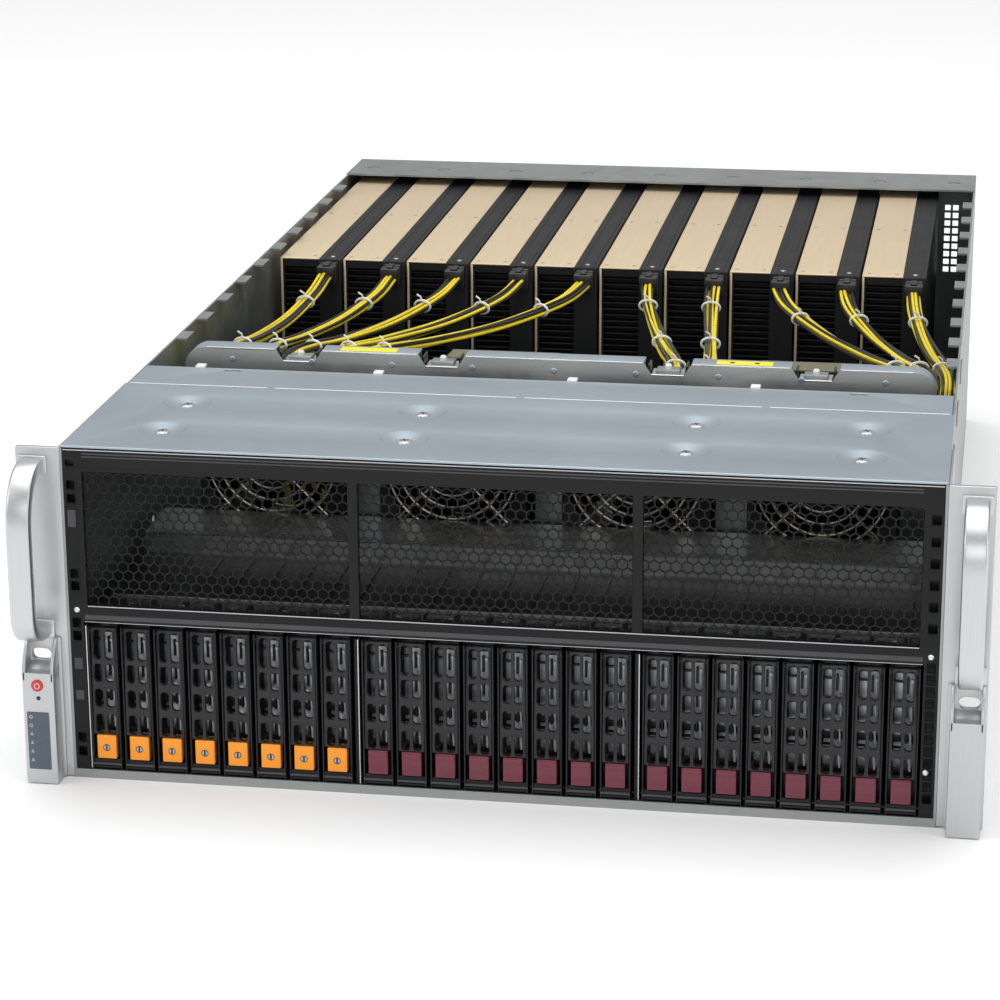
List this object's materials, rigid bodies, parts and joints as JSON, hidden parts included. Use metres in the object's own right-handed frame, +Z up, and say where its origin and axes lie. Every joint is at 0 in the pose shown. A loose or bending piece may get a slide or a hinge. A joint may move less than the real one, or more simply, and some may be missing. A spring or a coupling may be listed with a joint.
{
  "type": "rack gpu server",
  "caption": "Rack server four units high, opened at the top: drive carriers below honeycomb intakes, fans, air hoods, a row of accelerator cards and plug-in power supplies",
  "frame": {"origin": "middle of the chassis underside, half-way between the front plane and the rear panel", "axes": "+X right seen from the front, +Y to the rear, +Z up"},
  "size_m": [0.4826, 0.7875, 0.177],
  "materials": {
    "galvanised": "galvanised sheet",
    "cover_steel": "smooth satin sheet",
    "black_paint": "satin black",
    "satin_aluminium": "satin",
    "board_green": "solder mask",
    "fin_aluminium": "plain",
    "hood_film": "translucent film",
    "black_plastic": "moulded",
    "card_black": "matt black",
    "card_plate": "champagne anodised",
    "lead_yellow": "insulation",
    "button_red": "plain",
    "carrier_black": "moulded",
    "button_orange": "moulded",
    "button_maroon": "moulded",
    "supply_steel": "sheet"
  },
  "bodies": {
    "chassis": {"chassis_tray": "galvanised", "rear_panel": "galvanised", "board_deck": "galvanised", "front_frame": "black_paint", "front_cover": "cover_steel", "fan_wall": "galvanised", "drive_cage": "galvanised", "intake_grilles": "black_paint", "left_ear": "satin_aluminium", "right_ear": "satin_aluminium", "handles": "satin_aluminium", "main_board": "board_green", "heatsinks": "fin_aluminium", "memory_modules": "board_green", "air_shrouds": "hood_film", "fan_frames": "black_plastic", "gpu_cards": "card_black", "gpu_plates": "card_plate", "power_leads": "lead_yellow"},
    "power_button": {"power_button": "button_red"},
    "drive_01": {"drive_01": "carrier_black"},
    "drive_02": {"drive_02": "carrier_black"},
    "drive_03": {"drive_03": "carrier_black"},
    "drive_04": {"drive_04": "carrier_black"},
    "drive_05": {"drive_05": "carrier_black"},
    "drive_06": {"drive_06": "carrier_black"},
    "drive_07": {"drive_07": "carrier_black"},
    "drive_08": {"drive_08": "carrier_black"},
    "drive_09": {"drive_09": "carrier_black"},
    "drive_10": {"drive_10": "carrier_black"},
    "drive_11": {"drive_11": "carrier_black"},
    "drive_12": {"drive_12": "carrier_black"},
    "drive_13": {"drive_13": "carrier_black"},
    "drive_14": {"drive_14": "carrier_black"},
    "drive_15": {"drive_15": "carrier_black"},
    "drive_16": {"drive_16": "carrier_black"},
    "drive_17": {"drive_17": "carrier_black"},
    "drive_18": {"drive_18": "carrier_black"},
    "drive_19": {"drive_19": "carrier_black"},
    "drive_20": {"drive_20": "carrier_black"},
    "drive_21": {"drive_21": "carrier_black"},
    "drive_22": {"drive_22": "carrier_black"},
    "drive_23": {"drive_23": "carrier_black"},
    "drive_24": {"drive_24": "carrier_black"},
    "lever_01": {"lever_01": "carrier_black"},
    "button_01": {"button_01": "button_orange"},
    "lever_09": {"lever_09": "carrier_black"},
    "button_09": {"button_09": "button_maroon"},
    "fan_rotor_1": {"fan_rotor_1": "black_plastic"},
    "fan_rotor_2": {"fan_rotor_2": "black_plastic"},
    "fan_rotor_3": {"fan_rotor_3": "black_plastic"},
    "fan_rotor_4": {"fan_rotor_4": "black_plastic"},
    "fan_rotor_5": {"fan_rotor_5": "black_plastic"},
    "fan_rotor_6": {"fan_rotor_6": "black_plastic"},
    "fan_rotor_7": {"fan_rotor_7": "black_plastic"},
    "fan_rotor_8": {"fan_rotor_8": "black_plastic"},
    "psu_1": {"psu_1": "supply_steel"},
    "psu_2": {"psu_2": "supply_steel"},
    "psu_3": {"psu_3": "supply_steel"},
    "psu_4": {"psu_4": "supply_steel"}
  },
  "joints": [
    {"name": "power_press", "type": "slide", "parent": "chassis", "child": "power_button", "axis": [0, 1, 0], "range_m": [0, 0.0012], "stiffness_N_per_m": 300},
    {"name": "drive_01_slide", "type": "slide", "parent": "chassis", "child": "drive_01", "axis": [0, -1, 0], "range_m": [0, 0.12]},
    {"name": "drive_02_slide", "type": "slide", "parent": "chassis", "child": "drive_02", "axis": [0, -1, 0], "range_m": [0, 0.12]},
    {"name": "drive_03_slide", "type": "slide", "parent": "chassis", "child": "drive_03", "axis": [0, -1, 0], "range_m": [0, 0.12]},
    {"name": "drive_04_slide", "type": "slide", "parent": "chassis", "child": "drive_04", "axis": [0, -1, 0], "range_m": [0, 0.12]},
    {"name": "drive_05_slide", "type": "slide", "parent": "chassis", "child": "drive_05", "axis": [0, -1, 0], "range_m": [0, 0.12]},
    {"name": "drive_06_slide", "type": "slide", "parent": "chassis", "child": "drive_06", "axis": [0, -1, 0], "range_m": [0, 0.12]},
    {"name": "drive_07_slide", "type": "slide", "parent": "chassis", "child": "drive_07", "axis": [0, -1, 0], "range_m": [0, 0.12]},
    {"name": "drive_08_slide", "type": "slide", "parent": "chassis", "child": "drive_08", "axis": [0, -1, 0], "range_m": [0, 0.12]},
    {"name": "drive_09_slide", "type": "slide", "parent": "chassis", "child": "drive_09", "axis": [0, -1, 0], "range_m": [0, 0.12]},
    {"name": "drive_10_slide", "type": "slide", "parent": "chassis", "child": "drive_10", "axis": [0, -1, 0], "range_m": [0, 0.12]},
    {"name": "drive_11_slide", "type": "slide", "parent": "chassis", "child": "drive_11", "axis": [0, -1, 0], "range_m": [0, 0.12]},
    {"name": "drive_12_slide", "type": "slide", "parent": "chassis", "child": "drive_12", "axis": [0, -1, 0], "range_m": [0, 0.12]},
    {"name": "drive_13_slide", "type": "slide", "parent": "chassis", "child": "drive_13", "axis": [0, -1, 0], "range_m": [0, 0.12]},
    {"name": "drive_14_slide", "type": "slide", "parent": "chassis", "child": "drive_14", "axis": [0, -1, 0], "range_m": [0, 0.12]},
    {"name": "drive_15_slide", "type": "slide", "parent": "chassis", "child": "drive_15", "axis": [0, -1, 0], "range_m": [0, 0.12]},
    {"name": "drive_16_slide", "type": "slide", "parent": "chassis", "child": "drive_16", "axis": [0, -1, 0], "range_m": [0, 0.12]},
    {"name": "drive_17_slide", "type": "slide", "parent": "chassis", "child": "drive_17", "axis": [0, -1, 0], "range_m": [0, 0.12]},
    {"name": "drive_18_slide", "type": "slide", "parent": "chassis", "child": "drive_18", "axis": [0, -1, 0], "range_m": [0, 0.12]},
    {"name": "drive_19_slide", "type": "slide", "parent": "chassis", "child": "drive_19", "axis": [0, -1, 0], "range_m": [0, 0.12]},
    {"name": "drive_20_slide", "type": "slide", "parent": "chassis", "child": "drive_20", "axis": [0, -1, 0], "range_m": [0, 0.12]},
    {"name": "drive_21_slide", "type": "slide", "parent": "chassis", "child": "drive_21", "axis": [0, -1, 0], "range_m": [0, 0.12]},
    {"name": "drive_22_slide", "type": "slide", "parent": "chassis", "child": "drive_22", "axis": [0, -1, 0], "range_m": [0, 0.12]},
    {"name": "drive_23_slide", "type": "slide", "parent": "chassis", "child": "drive_23", "axis": [0, -1, 0], "range_m": [0, 0.12]},
    {"name": "drive_24_slide", "type": "slide", "parent": "chassis", "child": "drive_24", "axis": [0, -1, 0], "range_m": [0, 0.12]},
    {"name": "lever_01_hinge", "type": "hinge", "parent": "drive_01", "child": "lever_01", "pos_m": [-0.20103, -0.3657, 0.0791], "axis": [-1, 0, 0], "range_deg": [0, 60]},
    {"name": "button_01_press", "type": "slide", "parent": "drive_01", "child": "button_01", "axis": [0, 1, 0], "range_m": [0, 0.0015], "stiffness_N_per_m": 200},
    {"name": "lever_09_hinge", "type": "hinge", "parent": "drive_09", "child": "lever_09", "pos_m": [-0.06003, -0.3657, 0.0791], "axis": [-1, 0, 0], "range_deg": [0, 60]},
    {"name": "button_09_press", "type": "slide", "parent": "drive_09", "child": "button_09", "axis": [0, 1, 0], "range_m": [0, 0.0015], "stiffness_N_per_m": 200},
    {"name": "fan_rotor_1_spin", "type": "hinge", "parent": "chassis", "child": "fan_rotor_1", "pos_m": [-0.15, -0.2035, 0.0412], "axis": [0, 1, 0], "continuous": true},
    {"name": "fan_rotor_2_spin", "type": "hinge", "parent": "chassis", "child": "fan_rotor_2", "pos_m": [-0.05, -0.2035, 0.0412], "axis": [0, 1, 0], "continuous": true},
    {"name": "fan_rotor_3_spin", "type": "hinge", "parent": "chassis", "child": "fan_rotor_3", "pos_m": [0.05, -0.2035, 0.0412], "axis": [0, 1, 0], "continuous": true},
    {"name": "fan_rotor_4_spin", "type": "hinge", "parent": "chassis", "child": "fan_rotor_4", "pos_m": [0.15, -0.2035, 0.0412], "axis": [0, 1, 0], "continuous": true},
    {"name": "fan_rotor_5_spin", "type": "hinge", "parent": "chassis", "child": "fan_rotor_5", "pos_m": [-0.15, -0.2035, 0.1248], "axis": [0, 1, 0], "continuous": true},
    {"name": "fan_rotor_6_spin", "type": "hinge", "parent": "chassis", "child": "fan_rotor_6", "pos_m": [-0.05, -0.2035, 0.1248], "axis": [0, 1, 0], "continuous": true},
    {"name": "fan_rotor_7_spin", "type": "hinge", "parent": "chassis", "child": "fan_rotor_7", "pos_m": [0.05, -0.2035, 0.1248], "axis": [0, 1, 0], "continuous": true},
    {"name": "fan_rotor_8_spin", "type": "hinge", "parent": "chassis", "child": "fan_rotor_8", "pos_m": [0.15, -0.2035, 0.1248], "axis": [0, 1, 0], "continuous": true},
    {"name": "psu_1_slide", "type": "slide", "parent": "chassis", "child": "psu_1", "axis": [0, 1, 0], "range_m": [0, 0.28]},
    {"name": "psu_2_slide", "type": "slide", "parent": "chassis", "child": "psu_2", "axis": [0, 1, 0], "range_m": [0, 0.28]},
    {"name": "psu_3_slide", "type": "slide", "parent": "chassis", "child": "psu_3", "axis": [0, 1, 0], "range_m": [0, 0.28]},
    {"name": "psu_4_slide", "type": "slide", "parent": "chassis", "child": "psu_4", "axis": [0, 1, 0], "range_m": [0, 0.28]}
  ]
}
